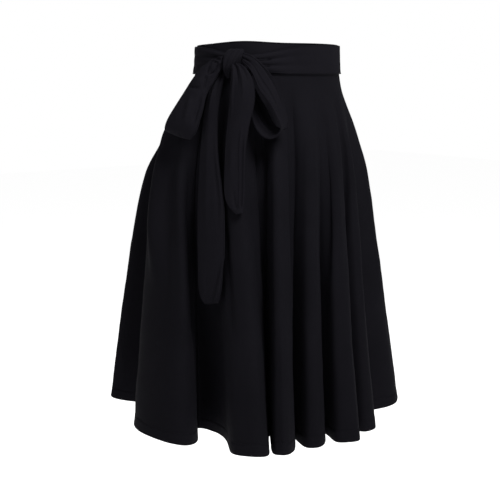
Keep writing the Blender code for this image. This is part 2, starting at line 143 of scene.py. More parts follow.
# How finely the cloth is drawn
SKIRT_PER_SPAN = 8
SKIRT_TOP_ROWS = 34
SKIRT_LOWER_ROWS = 66
HEM_ROWS = 9
BAND_COLUMNS = 220
BAND_ROWS = 26
SASH_COLUMNS = 620
SASH_ROWS = 44
RIBBON_COLUMNS = 61
RIBBON_PER_RUNG = 20
RIM_ANGLES = (36.0, 72.0, 108.0, 144.0)
PATH_POINTS = 24

# The hem's stitched turn
STITCH_PITCH = 0.0036
STITCH_LENGTH = 0.0027
STITCH_RADIUS = 0.00028
STITCH_SIDES = 6
# Place and thickness along a stitch, and the cloth's rows by the stitches, in hem depths
STITCH_STATIONS = ((-0.5, 0.35), (-0.3, 1.0), (0.3, 1.0), (0.5, 0.35))
HEM_ROW_PLACES = (1.3, 1.18, 1.1, 1.05, 1.0, 0.95, 0.9, 0.82)
HEM_STEP = 0.0016          # over which the wall thickens to the turned hem's
GROOVE_DEPTH = 0.0005
GROOVE_WIDTH = 0.0016
TURN_BULGE = 0.0004
PUCKER_DEPTH = 0.00035
PUCKER_LENGTH = 0.0095
PUCKER_CELL = 0.03

# Soft unevenness of hanging cloth
DRIFT_HEIGHT = 0.0009
DRIFT_CELL = 0.055
RUMPLE_HEIGHT = 0.00035
RUMPLE_CELL = 0.014
FINE_SHARE = 0.25          # the panel's upper part, whose rows lie closer together
STILL_SHARE = 0.08         # the panel's top, where the unevenness sets in
SOFT_FADE_IN = 0.22
SOFT_FADE_OUT = 0.35


def hermite(knots, values, at):
    """A smooth curve through a table's column, with its slopes taken from the neighbouring rows."""
    knots = np.asarray(knots, float)
    values = np.asarray(values, float)
    slopes = np.gradient(values, knots)
    at = np.clip(at, knots[0], knots[-1])
    low = np.clip(np.searchsorted(knots, at) - 1, 0, len(knots) - 2)
    step = knots[low + 1] - knots[low]
    s = (at - knots[low]) / step
    rise = values[low + 1] - values[low]
    bend_low = slopes[low] * step - rise
    bend_high = rise - slopes[low + 1] * step
    return values[low] + s * rise + s * (1 - s) * ((1 - s) * bend_low + s * bend_high)


def spline(points, per_span, closed=False):
    """A cubic spline through points, its curvature even, sampled a fixed number of times between each two."""
    points = np.asarray(points, float)
    if closed:
        points = np.vstack([points, points[:1]])
    steps = np.sqrt(np.linalg.norm(np.diff(points, axis=0), axis=1))
    count = len(points)
    matrix = np.zeros((count, count))
    goal = np.zeros_like(points)
    slopes = np.diff(points, axis=0) / steps[:, None]
    for k in range(1, count - 1):
        matrix[k, k - 1:k + 2] = steps[k - 1], 2 * (steps[k - 1] + steps[k]), steps[k]
        goal[k] = 6 * (slopes[k] - slopes[k - 1])
    if closed:
        matrix[0, 0] = matrix[-1, 0] = 1.0
        matrix[0, -1] = -1.0
        matrix[-1, 0] = 2 * (steps[0] + steps[-1])
        matrix[-1, 1] = steps[0]
        matrix[-1, -2] = steps[-1]
        goal[-1] = 6 * (slopes[0] - slopes[-1])
    else:
        matrix[0, 0] = matrix[-1, -1] = 1.0
    bends = np.linalg.solve(matrix, goal)
    share = np.arange(per_span) / per_span
    rows = []
    for k in range(count - 1):
        a, b = 1 - share[:, None], share[:, None]
        cubic = (a**3 - a) * bends[k] + (b**3 - b) * bends[k + 1]
        rows.append(a * points[k] + b * points[k + 1] + cubic * steps[k] ** 2 / 6)
    if not closed:
        rows.append(points[-1:])
    return np.vstack(rows)


def polar(azimuth, reach):
    """Plan points at azimuths in degrees."""
    angle = np.radians(azimuth)
    return np.stack([reach * np.sin(angle), -reach * np.cos(angle)], axis=-1)


def fitted_reach(azimuth, height):
    """How far the fitted form stands from the axis."""
    heights = [section.height for section in reversed(SECTIONS)]
    half_width, front, back = (
        hermite(heights, [getattr(section, side) for section in reversed(SECTIONS)], height)
        for side in ("half_width", "front", "back")
    )
    angle = np.radians(azimuth)
    depth = np.where(np.cos(angle) > 0, front, back)
    return 1 / np.hypot(np.sin(angle) / half_width, np.cos(angle) / depth)


def worn_point(azimuth, height, stand):
    """A point that stands off the fitted form."""
    azimuth, height, stand = np.broadcast_arrays(azimuth, height, stand)
    plan = polar(azimuth, fitted_reach(azimuth, height) + stand)
    return np.concatenate([plan, height[..., None]], axis=-1)


def fold_points(folds, floor):
    """The hem's leading points, going round. The first fold rises from the given floor."""
    rows = []
    for fold in folds:
        middle = (fold.left + fold.right) / 2
        crest = (fold.left_reach + fold.right_reach) / 2 + fold.crown
        rows.append((fold.rise, (floor + fold.left_reach) / 2))
        rows += [(fold.left, fold.left_reach), (middle, crest), (fold.right, fold.right_reach)]
        rows.append((fold.fall, (fold.right_reach + fold.floor) / 2))
        rows.append((fold.valley - fold.span / 2, fold.floor))
        if fold.span:
            rows.append((fold.valley + fold.span / 2, fold.floor))
        floor = fold.floor
    return rows


def arc_lengths(points):
    return np.concatenate([[0], np.cumsum(np.linalg.norm(np.diff(points, axis=0), axis=1))])


def waist_azimuths(start, end, shares):
    """Azimuths at the given shares of the waist seam's length from one azimuth to another."""
    azimuths = np.linspace(start, end, SEAM_SAMPLES)
    seam = polar(azimuths, fitted_reach(azimuths, -BAND_HEIGHT))
    lengths = arc_lengths(seam)
    waist = np.interp(shares, lengths / lengths[-1], azimuths)
    near = np.clip((waist - DRAWN_AZIMUTH) / DRAWN_REACH, -1, 1)
    return waist - DRAWN_BACK * np.cos(near * math.pi / 2) ** 2


def panel_columns(per_span):
    """For the front and the back panel: plan points along the hem, and their azimuths at the waist."""
    rows = fold_points(FRONT_FOLDS + BACK_FOLDS, BACK_FOLDS[-1].floor)
    leads = polar(*np.array(rows[-2:] + rows[:-2]).T)
    hem = spline(leads, per_span, closed=True)
    hem = np.vstack([hem, hem[:1]])
    split = (len(fold_points(FRONT_FOLDS, 0.0)) + 1) * per_span
    panels = []
    for columns, start, end in (
        (hem[:split + 1], SEAM_RIGHT, SEAM_LEFT),
        (hem[split:], SEAM_LEFT, SEAM_RIGHT + 360),
    ):
        lengths = arc_lengths(columns)
        panels.append((columns, waist_azimuths(start, end, lengths / lengths[-1])))
    return panels


def skirt_surface(columns, waist, shares):
    """The panel's outer face: each column runs from the fitted form at the waist to its place in the hem."""
    reach = np.linalg.norm(columns, axis=1)
    hem_height = -(HIP_DROP + np.sqrt(BELOW_HIP**2 - (reach - HIP_REACH) ** 2))
    top = -(BAND_HEIGHT + SEAM_GAP)
    backness = (1 - np.cos(np.radians(waist))) / 2
    flare_start = FLARE_START_FRONT + (FLARE_START_BACK - FLARE_START_FRONT) * backness
    hem_form = polar(waist, fitted_reach(waist, hem_height))
    rows = []
    for share in shares:
        height = top + share * (hem_height - top)
        fall = np.clip((flare_start - height) / (flare_start - hem_height), 0, 1)
        flare = fall**2 * (1 + FLARE_EASE) / (fall + FLARE_EASE)
        plan = polar(waist, fitted_reach(waist, height)) + flare[:, None] * (columns - hem_form)
        rows.append(np.column_stack([plan, height]))
    return np.array(rows)


def band_top(azimuth):
    """Height of the waistband's top edge."""
    away = (np.asarray(azimuth, float) - BAND_RISE_AZIMUTH + 180) % 360 - 180
    backness = (1 - np.cos(np.radians(azimuth))) / 2
    return BAND_RISE * np.exp(-((away / BAND_RISE_SPREAD) ** 2)) - BAND_DIP * backness


# Relief of the cloth
def ease(share):
    share = np.clip(share, 0, 1)
    return share * share * (3 - 2 * share)


def grid_lengths(grid):
    """For each point, metres across from its row's middle and metres along from its column's top."""
    across = np.zeros(grid.shape[:2])
    along = np.zeros(grid.shape[:2])
    across[:, 1:] = np.cumsum(np.linalg.norm(np.diff(grid, axis=1), axis=2), axis=1)
    along[1:] = np.cumsum(np.linalg.norm(np.diff(grid, axis=0), axis=2), axis=0)
    across -= across[:, grid.shape[1] // 2][:, None]
    return across, along


def out_of_face(grid):
    """Unit normals on the cloth's outer side."""
    normals = np.cross(np.gradient(grid, axis=0), np.gradient(grid, axis=1))
    return normals / np.linalg.norm(normals, axis=2, keepdims=True)


def raised(grid, relief):
    """The grid, lifted off its own face."""
    return grid + out_of_face(grid) * np.asarray(relief)[..., None]


def read_between(values, row, column):
    """A grid's value between its points."""
    i = np.clip(np.floor(row).astype(int), 0, values.shape[0] - 2)
    j = np.clip(np.floor(column).astype(int), 0, values.shape[1] - 2)
    down, over = row - i, column - j
    upper = values[i, j] * (1 - over) + values[i, j + 1] * over
    lower = values[i + 1, j] * (1 - over) + values[i + 1, j + 1] * over
    return upper * (1 - down) + lower * down


# A crease is a soft ridge, or a trough where its height is negative. Its path runs through points given as
# shares across and along the sheet, and it fades in and out over shares of its own length.
Crease = namedtuple("Crease", "path height width fade_in fade_out")


def crease_relief(grid, creases):
    """How far the creases lift each point of a grid."""
    across, along = grid_lengths(grid)
    last_row, last_column = grid.shape[0] - 1, grid.shape[1] - 1
    steps = np.linspace(0, 1, PATH_POINTS)
    total = np.zeros_like(across)
    for crease in creases:
        path = np.array(crease.path)
        knots = np.linspace(0, 1, len(path))
        column = hermite(knots, path[:, 0], steps) * last_column
        row = hermite(knots, path[:, 1], steps) * last_row
        u = read_between(across, row, column)
        v = read_between(along, row, column)
        nearest = np.full_like(across, np.inf)
        place = np.zeros_like(across)
        for k in range(PATH_POINTS - 1):
            du, dv = u[k + 1] - u[k], v[k + 1] - v[k]
            t = np.clip(((across - u[k]) * du + (along - v[k]) * dv) / (du * du + dv * dv), 0, 1)
            distance = np.hypot(across - u[k] - t * du, along - v[k] - t * dv)
            closer = distance < nearest
            nearest = np.where(closer, distance, nearest)
            place = np.where(closer, (k + t) / (PATH_POINTS - 1), place)
        window = ease(place / max(crease.fade_in, 0.001)) * ease((1 - place) / max(crease.fade_out, 0.001))
        total += crease.height * window * np.exp(-((nearest / crease.width) ** 2))
    return total


def soft_noise(u, v, cell, seed):
    """Smooth noise from -1 to 1 with features one cell wide."""
    side = 64
    lattice = np.random.default_rng(seed).uniform(-1, 1, (side, side))
    x, y = u / cell, v / cell
    i, j = np.floor(x).astype(int), np.floor(y).astype(int)
    s, t = ease(x - i), ease(y - j)
    i0, i1, j0, j1 = i % side, (i + 1) % side, j % side, (j + 1) % side
    upper = lattice[i0, j0] * (1 - s) + lattice[i1, j0] * s
    lower = lattice[i0, j1] * (1 - s) + lattice[i1, j1] * s
    return upper * (1 - t) + lower * t


def uneven(grid, seed, drift=DRIFT_HEIGHT, rumple=RUMPLE_HEIGHT):
    """The slight unevenness of a sheet that hangs freely."""
    across, along = grid_lengths(grid)
    return (
        drift * soft_noise(across, along * 0.5, DRIFT_CELL, seed)
        + rumple * soft_noise(across, along * 0.6, RUMPLE_CELL, seed + 1)
    )


# Materials
def set_sockets(node, sockets):
    for name, value in sockets.items():
        node.inputs[name.replace("_", " ")].default_value = value


def add_node(tree, kind, **sockets):
    node = tree.nodes.new(kind)
    set_sockets(node, sockets)
    return node


def new_material(name, **sockets):
    """A material with its node tree and its shader."""
    material = bpy.data.materials.new(name)
    material.use_nodes = True
    shader = material.node_tree.nodes["Principled BSDF"]
    set_sockets(shader, sockets)
    return material, material.node_tree, shader


def math_node(tree, operation, first, factor=0.5, last=None):
    node = tree.nodes.new("ShaderNodeMath")
    node.operation = operation
    node.inputs[1].default_value = factor
    tree.links.new(first, node.inputs[0])
    if last:
        tree.links.new(last, node.inputs[2])
    return node.outputs["Value"]


def noise_node(tree, place, scale, detail, roughness=0.5):
    noise = add_node(tree, "ShaderNodeTexNoise", Scale=scale, Detail=detail, Roughness=roughness)
    tree.links.new(place, noise.inputs["Vector"])
    return noise.outputs["Fac"]


def bump_node(tree, height, strength, distance, normal=None):
    bump = add_node(tree, "ShaderNodeBump", Strength=strength, Distance=distance)
    tree.links.new(height, bump.inputs["Height"])
    if normal:
        tree.links.new(normal, bump.inputs["Normal"])
    return bump.outputs["Normal"]


def tone_ramp(tree, factor, colour, spread, start=0.0):
    """Tones from a little darker to a little lighter than the colour."""
    ramp = tree.nodes.new("ShaderNodeValToRGB")
    tree.links.new(factor, ramp.inputs["Fac"])
    for element, place, share in zip(ramp.color_ramp.elements, (start, 1.0), (1 - spread, 1 + spread)):
        element.position = place
        element.color = (*(c * share for c in colour), 1.0)
    return ramp.outputs["Color"]


def knit_material(name, colour, wale=0.0007, course=0.0009):
    """Matte jersey: fine wales and courses, a fibrous surface and a faint drift of its dye."""
    material, tree, shader = new_material(
        name, Metallic=0.0, Specular_IOR_Level=0.02, Sheen_Weight=0.006, Sheen_Roughness=0.5,
        Sheen_Tint=(0.82, 0.80, 1.0, 1.0),
    )
    metres = tree.nodes.new("ShaderNodeUVMap")
    metres.uv_map = "Cloth"
    split = tree.nodes.new("ShaderNodeSeparateXYZ")
    tree.links.new(metres.outputs["UV"], split.inputs["Vector"])
    wales, courses = (
        math_node(tree, "SINE", math_node(tree, "MULTIPLY", split.outputs[axis], 2 * math.pi / pitch))
        for axis, pitch in (("X", wale), ("Y", course))
    )
    knit = math_node(tree, "MULTIPLY_ADD", courses, 0.45, wales)

    place = tree.nodes.new("ShaderNodeTexCoord").outputs["Object"]
    fibres = noise_node(tree, place, 1600.0, 3.0, 0.6)
    fuzz = noise_node(tree, place, 260.0, 4.0, 0.55)
    drift = noise_node(tree, place, 11.0, 3.0)
    weave = bump_node(tree, knit, 0.35, 0.00012)
    tree.links.new(bump_node(tree, fibres, 0.5, 0.00018, weave), shader.inputs["Normal"])

    blend = math_node(tree, "MULTIPLY_ADD", fuzz, 0.45, drift)
    tree.links.new(tone_ramp(tree, blend, colour, 0.12, 0.45), shader.inputs["Base Color"])
    matte = add_node(tree, "ShaderNodeMapRange", To_Min=0.70, To_Max=0.88)
    tree.links.new(fuzz, matte.inputs["Value"])
    tree.links.new(matte.outputs["Result"], shader.inputs["Roughness"])
    material.diffuse_color = (*colour, 1.0)
    return material


def thread_material(name, colour):
    """Spun sewing thread with a fine twist."""
    material, tree, shader = new_material(name, Roughness=0.6, Specular_IOR_Level=0.05)
    twist = noise_node(tree, tree.nodes.new("ShaderNodeTexCoord").outputs["Object"], 2500.0, 2.0)
    tree.links.new(bump_node(tree, twist, 0.4, 0.0001), shader.inputs["Normal"])
    tree.links.new(tone_ramp(tree, twist, colour, 0.3), shader.inputs["Base Color"])
    return material


# Building blocks
def placed(name, data):
    """A new object in the scene."""
    item = bpy.data.objects.new(name, data)
    bpy.context.scene.collection.objects.link(item)
    return item


def mesh_object(name, points, faces, material, uv=None):
    mesh = bpy.data.meshes.new(name)
    mesh.from_pydata(np.asarray(points).tolist(), [], [[int(v) for v in face] for face in faces])
    mesh.materials.append(material)
    mesh.shade_smooth()
    if uv is not None:
        layer = mesh.uv_layers.new(name="Cloth")
        corners = np.empty(len(mesh.loops), dtype=np.int32)
        mesh.loops.foreach_get("vertex_index", corners)
        layer.data.foreach_set("uv", np.asarray(uv, np.float32)[corners].ravel())
    return placed(name, mesh)


def quads(indices):
    """Faces over a grid of vertex numbers, turned so that they face the cloth's outer side."""
    return np.stack(
        [indices[:-1, :-1], indices[1:, :-1], indices[1:, 1:], indices[:-1, 1:]], axis=-1
    ).reshape(-1, 4)


def around(values):
    """A grid's values on its border, going round from the first corner."""
    return np.concatenate([values[0, :-1], values[:-1, -1], values[-1, :0:-1], values[:0:-1, 0]])


def thick_cloth(name, face, wall, material):
    """A closed sheet with its outer side on a grid, its wall behind that, and rounded edges."""
    wall = np.broadcast_to(wall, face.shape[:2])
    out = out_of_face(face)
    back = face - out * wall[..., None]
    rows, columns = face.shape[:2]
    count = rows * columns
    front_numbers = np.arange(count).reshape(rows, columns)
    back_numbers = front_numbers + count

    down = np.gradient(face, axis=0)
    over = np.gradient(face, axis=1)
    down /= np.linalg.norm(down, axis=2, keepdims=True)
    over /= np.linalg.norm(over, axis=2, keepdims=True)
    away = np.zeros_like(face)
    away[0] -= down[0]
    away[-1] += down[-1]
    away[:, 0] -= over[:, 0]
    away[:, -1] += over[:, -1]
    away = around(away)
    away /= np.linalg.norm(away, axis=1, keepdims=True)
    middle = around((face + back) / 2)
    half = around(wall)[:, None] / 2
    up = around(out)

    lengths = np.stack(grid_lengths(face), axis=-1)
    border_uv = around(lengths)
    points = [face.reshape(-1, 3), back.reshape(-1, 3)]
    uvs = [lengths.reshape(-1, 2)] * 2
    rings = [around(front_numbers)]
    border = len(middle)
    for k, angle in enumerate(RIM_ANGLES):
        turn = math.radians(angle)
        points.append(middle + half * (math.cos(turn) * up + math.sin(turn) * away))
        uvs.append(border_uv)
        rings.append(2 * count + k * border + np.arange(border))
    rings.append(around(back_numbers))
    rings = np.array(rings)
    rim = quads(np.concatenate([rings, rings[:, :1]], axis=1))[:, ::-1]
    faces = np.concatenate([quads(front_numbers), quads(back_numbers)[:, ::-1], rim[:, ::-1]])
    return mesh_object(name, np.concatenate(points), faces, material, np.concatenate(uvs))


def dress(piece, slot, *nodes):
    """The piece rides on the garment's one body and stands for the named solids."""
    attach(piece, "root")
    if nodes:
        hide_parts(*nodes)


def draw_sides_in(grid, amount):
    """Moves a grid's outer columns inwards, to leave room for the rounded edge."""
    grid = grid.copy()
    for edge, inner in ((0, 1), (-1, -2)):
        along = grid[:, inner] - grid[:, edge]
        along /= np.linalg.norm(along, axis=-1, keepdims=True)
        grid[:, edge] += along * amount
    return grid


# The pieces
def skirt_shares():
    hem = HEM_DEPTH / PANEL_LENGTH
    top_inset = SKIRT_WALL / 2 / PANEL_LENGTH
    stitch_rows = 1 - hem * np.array(HEM_ROW_PLACES)
    return np.concatenate([
        np.linspace(top_inset, FINE_SHARE, SKIRT_TOP_ROWS)[:-1],
        np.linspace(FINE_SHARE, stitch_rows[0], SKIRT_LOWER_ROWS)[:-1],
        stitch_rows,
        np.linspace(stitch_rows[-1], 1 - HEM_WALL / 2 / PANEL_LENGTH, HEM_ROWS)[1:],
    ])


# The skirt's soft folds below the waist. Each follows the cloth from one azimuth of the waist seam to
# another, between two shares of the panel's length.
SoftFold = namedtuple("SoftFold", "top_azimuth low_azimuth top low height width")
SOFT_FOLDS = table(
    SoftFold,
    (-70.0, -67.5, 0.03, 0.5, -0.006, 0.01),
    (-66.5, -64.0, 0.36, 0.74, -0.0052, 0.0075),
    (-57.0, -56.5, 0.38, 0.8, 0.002, 0.009),
    (-40.5, -43.0, 0.01, 0.32, -0.006, 0.01),
    (-50.5, -50.0, 0.16, 0.8, 0.0028, 0.007),
    (-43.5, -44.0, 0.1, 0.66, -0.009, 0.0062),
    (-33.0, -32.5, 0.1, 0.8, 0.0036, 0.008),
    (-19.5, -21.5, 0.01, 0.62, -0.0075, 0.0088),
    (-2.0, -7.0, 0.03, 0.78, 0.0034, 0.01),
    (15.5, 11.5, 0.03, 0.6, -0.0062, 0.008),
    (27.0, 20.0, 0.03, 0.78, 0.0042, 0.008),
    (36.0, 30.0, 0.03, 0.7, -0.0052, 0.007),
    (40.0, 40.0, 0.11, 0.78, 0.0026, 0.0062),
    (47.0, 50.0, 0.11, 0.7, -0.0036, 0.009),
    (60.0, 63.0, 0.15, 0.8, 0.0026, 0.01),
    (71.5, 74.0, 0.07, 0.72, -0.0036, 0.008),
    (83.0, 83.8, 0.2, 0.8, 0.0022, 0.008),
    (103.0, 104.0, 0.12, 0.8, 0.0026, 0.009),
    (112.0, 114.0, 0.05, 0.7, -0.004, 0.008),
    (122.5, 125.0, 0.13, 0.8, 0.003, 0.009),
    (133.0, 135.0, 0.08, 0.75, -0.0042, 0.009),
    (146.0, 147.0, 0.1, 0.8, 0.0026, 0.012),
    (158.5, 161.0, 0.04, 0.68, -0.0046, 0.009),
    (176.5, 175.0, 0.14, 0.8, 0.003, 0.011),
    (187.0, 189.0, 0.07, 0.76, -0.004, 0.009),
    (203.5, 202.5, 0.1, 0.8, 0.003, 0.012),
    (215.5, 216.5, 0.05, 0.7, -0.0046, 0.009),
    (228.0, 228.7, 0.16, 0.8, 0.0026, 0.008),
    (232.0, 232.2, 0.3, 0.85, -0.003, 0.007),
    (243.0, 243.0, 0.08, 0.6, 0.003, 0.012),
    (249.5, 251.0, 0.06, 0.62, 0.016, 0.019),
    (257.0, 259.5, 0.18, 0.8, -0.0034, 0.008),
    (263.5, 266.0, 0.13, 0.8, 0.0042, 0.007),
    (271.5, 272.0, 0.14, 0.9, -0.0066, 0.007),
)


def soft_fold_relief(grid, waist, shares, folds):
    lengths, _ = grid_lengths(grid)
    total = np.zeros_like(lengths)
    for fold in folds:
        if not waist[0] < fold.top_azimuth < waist[-1]:
            continue
        place = np.clip((shares - fold.top) / (fold.low - fold.top), 0, 1)
        azimuth = fold.top_azimuth + place * (fold.low_azimuth - fold.top_azimuth)
        window = ease(place / SOFT_FADE_IN) * ease((1 - place) / SOFT_FADE_OUT)
        for i in range(len(shares)):
            centre = np.interp(azimuth[i], waist, lengths[i])
            total[i] += fold.height * window[i] * np.exp(-(((lengths[i] - centre) / fold.width) ** 2))
    return total


def seam_calm(grid):
    """Nought at a panel's side seams, where both panels have to meet, and one away from them."""
    lengths, _ = grid_lengths(grid)
    edge = np.minimum(lengths - lengths[:, :1], lengths[:, -1:] - lengths)
    return ease(edge / SEAM_CALM)


def hem_relief(grid, shares):
    """The turned hem stands a little proud, with a groove and small puckers along its stitches."""
    above = (1 - shares) * PANEL_LENGTH
    from_stitch = above - HEM_DEPTH
    lengths, _ = grid_lengths(grid)
    turn = TURN_BULGE * ease((GROOVE_WIDTH - from_stitch) / (2 * GROOVE_WIDTH))
    groove = -GROOVE_DEPTH * np.exp(-((from_stitch / GROOVE_WIDTH) ** 2))
    near = np.exp(-((from_stitch / (3 * GROOVE_WIDTH)) ** 2))
    drift = soft_noise(lengths, from_stitch[:, None] + 0 * lengths, PUCKER_CELL, 41)
    pucker = np.sin(2 * math.pi * lengths / PUCKER_LENGTH + 4 * drift)
    return (turn + groove)[:, None] + PUCKER_DEPTH * near[:, None] * pucker * (0.6 + 0.4 * drift)


def make_stitches(name, row, out, material):
    """A row of stitches along a line of points."""
    lengths = arc_lengths(row)
    count = int(lengths[-1] / STITCH_PITCH)
    places = (np.arange(count) + 0.5) * lengths[-1] / count
    sides = STITCH_SIDES
    turn = np.arange(sides) * 2 * math.pi / sides
    points, faces = [], []
    for place in places:
        centre = np.array([np.interp(place, lengths, row[:, k]) for k in range(3)])
        ahead = np.array([np.interp(place + STITCH_LENGTH / 2, lengths, row[:, k]) for k in range(3)])
        up = np.array([np.interp(place, lengths, out[:, k]) for k in range(3)])
        along = ahead - centre
        along /= np.linalg.norm(along)
        side = np.cross(up, along)
        side /= np.linalg.norm(side)
        up = np.cross(along, side)
        first = len(points)
        for shift, size in STITCH_STATIONS:
            for angle in turn:
                offset = STITCH_RADIUS * size * (math.cos(angle) * side + math.sin(angle) * up)
                points.append(centre + shift * STITCH_LENGTH * along + offset + 0.5 * STITCH_RADIUS * up)
        for ring in range(len(STITCH_STATIONS) - 1):
            for k in range(sides):
                a = first + ring * sides + k
                b = first + ring * sides + (k + 1) % sides
                faces.append((a, b, b + sides, a + sides))
        start = first + (len(STITCH_STATIONS) - 1) * sides
        for k in range(1, sides - 2, 2):
            faces.append((first, first + k + 2, first + k + 1, first + k))
            faces.append((start, start + k, start + k + 1, start + k + 2))
    return mesh_object(name, points, faces, material)


def beside_seam(grid, wall, side):
    """Points on a panel's inner face, in rows that run from its side seam inwards."""
    inner = grid - out_of_face(grid) * (wall + ALLOWANCE_GAP)[:, None, None]
    if side == "right":
        inner = inner[:, ::-1]
    rows = []
    for row in inner:
        lengths = arc_lengths(row)
        rows.append([[np.interp(step, lengths, row[:, k]) for k in range(3)] for step in ALLOWANCE_STEPS])
    return np.array(rows)


def make_seam_allowance(name, before, after, rows, slot, material):
    """A side seam's turnings, pressed flat on the inside. The pieces meet in its middle."""
    grid = np.concatenate([before[rows, ::-1], after[rows]], axis=1)
    piece = thick_cloth(name, grid, ALLOWANCE_WALL, material)
    dress(piece, slot)
    return piece


def make_skirt(material, thread):
    shares = skirt_shares()
    stitch_row = int(np.argmin(np.abs((1 - shares) * PANEL_LENGTH - HEM_DEPTH)))
    turned = ease((HEM_DEPTH + HEM_STEP / 2 - (1 - shares) * PANEL_LENGTH) / HEM_STEP)
    wall = SKIRT_WALL + (HEM_WALL - SKIRT_WALL) * turned
    names = ("skirt_front", "skirt_back")
    grids = []
    for number, (columns, waist) in enumerate(panel_columns(SKIRT_PER_SPAN)):
        grid = skirt_surface(columns, waist, shares)
        still = ease(shares / STILL_SHARE)[:, None]
        relief = soft_fold_relief(grid, waist, shares, SOFT_FOLDS)
        relief += uneven(grid, 11 + 10 * number) * still * seam_calm(grid)
        relief += hem_relief(grid, shares)
        grids.append(draw_sides_in(raised(grid, relief), SKIRT_WALL / 2 + SEAM_GAP / 2))
    for name, grid, other in zip(names, grids, grids[::-1]):
        piece = thick_cloth(name + "_cloth", grid, wall[:, None], material)
        out = out_of_face(grid)
        stitches = make_stitches(name + "_hem_stitches", grid[stitch_row], out[stitch_row], thread)
        dress(piece, "skirt_knit", name)
        dress(stitches, "skirt_knit")
        allowance = make_seam_allowance(
            name + "_side_seam", beside_seam(grid, wall, "right"), beside_seam(other, wall, "left"),
            SKIRT_SEAM_ROWS, "skirt_knit", material,
        )


def make_waistband(material):
    inset = BAND_WALL / 2
    names = ("waistband_front", "waistband_back")
    grids = []
    azimuths = []
    for start, end in ((SEAM_RIGHT, SEAM_LEFT), (SEAM_LEFT, SEAM_RIGHT + 360)):
        azimuth = np.linspace(start, end, BAND_COLUMNS)
        top = band_top(azimuth) - inset
        bottom = -BAND_HEIGHT + inset
        shares = np.linspace(0, 1, BAND_ROWS)
        grid = np.array([worn_point(azimuth, top + share * (bottom - top), 0.0) for share in shares])
        relief = uneven(grid, 61, drift=0.0005, rumple=0.00025) * seam_calm(grid)
        grids.append(draw_sides_in(raised(grid, relief), inset + SEAM_GAP / 2))
        azimuths.append(azimuth)
    wall = np.full(BAND_ROWS, BAND_WALL)
    for name, azimuth, grid, other in zip(names, azimuths, grids, grids[::-1]):
        piece = thick_cloth(name + "_cloth", grid, BAND_WALL, material)
        dress(piece, "band_knit", name)
        side_seam = make_seam_allowance(
            name + "_side_seam", beside_seam(grid, wall, "right"), beside_seam(other, wall, "left"),
            BAND_SEAM_ROWS, "band_knit", material,
        )
        heights = np.linspace(ALLOWANCE_STEPS[-1], -ALLOWANCE_STEPS[-1], WAIST_SEAM_ROWS) - BAND_HEIGHT
        inner = np.array([worn_point(azimuth, height, -BAND_WALL - 2 * ALLOWANCE_GAP) for height in heights])
        waist_seam = thick_cloth(name + "_waist_seam", inner, ALLOWANCE_WALL, material)
        dress(waist_seam, "band_knit")


# The sash's edges round the waist: how far its top lies below the waistband's, and its bottom's height
SashRung = namedtuple("SashRung", "azimuth drop bottom gather")
SASH = table(
    SashRung,
    (-61.0, 0.0225, -0.0385, 0.7),
    (-54.0, 0.0215, -0.0400, 1.0),
    (-46.0, 0.0195, -0.0415, 0.9),
    (-36.0, 0.0150, -0.0435, 0.7),
    (-24.0, 0.0095, -0.0455, 0.4),
    (-10.0, 0.0055, -0.0465, 0.2),
    (8.0, 0.0030, -0.0470, 0.1),
    (40.0, 0.0015, -0.0470, 0.0),
    (130.0, 0.0015, -0.0470, 0.0),
    (220.0, 0.0015, -0.0470, 0.0),
    (250.0, 0.0020, -0.0470, 0.2),
    (266.0, 0.0040, -0.0460, 0.5),
    (278.0, 0.0085, -0.0440, 0.8),
    (288.0, 0.0150, -0.0410, 1.0),
    (297.0, 0.0190, -0.0390, 0.7),
)
SASH_RIDGES = 3
SASH_RIDGE_HEIGHT = 0.0028


def sash_surface(azimuth, shares):
    """The sash's inner face: it lies on the waistband and lifts in ridges where it is gathered."""
    knots = [rung.azimuth for rung in SASH]
    drop, bottom, gather = (
        hermite(knots, [getattr(rung, edge) for rung in SASH], azimuth)
        for edge in ("drop", "bottom", "gather")
    )
    top = band_top(azimuth) - drop
    rows = []
    for share in shares:
        height = top + share * (bottom - top)
        ridge = (1 - np.cos(2 * math.pi * SASH_RIDGES * share)) / 2
        stand = SASH_STAND + gather * SASH_RIDGE_HEIGHT * ridge
        below = np.clip(-(height + BAND_HEIGHT), 0, None)
        rows.append(worn_point(azimuth, height, stand + SASH_SPREAD * below))
    return np.array(rows)


def make_sash(material):
    azimuth = np.linspace(SASH[0].azimuth, SASH[-1].azimuth, SASH_COLUMNS)
    inset = RIBBON_WALL / 2 / BAND_HEIGHT
    grid = raised(sash_surface(azimuth, np.linspace(inset, 1 - inset, SASH_ROWS)), RIBBON_WALL)
    grid = raised(grid, uneven(grid, 71, drift=0.0006, rumple=0.0003))
    piece = thick_cloth("sash_wrap_cloth", grid, RIBBON_WALL, material)
    dress(piece, "sash_knit", "sash_wrap")


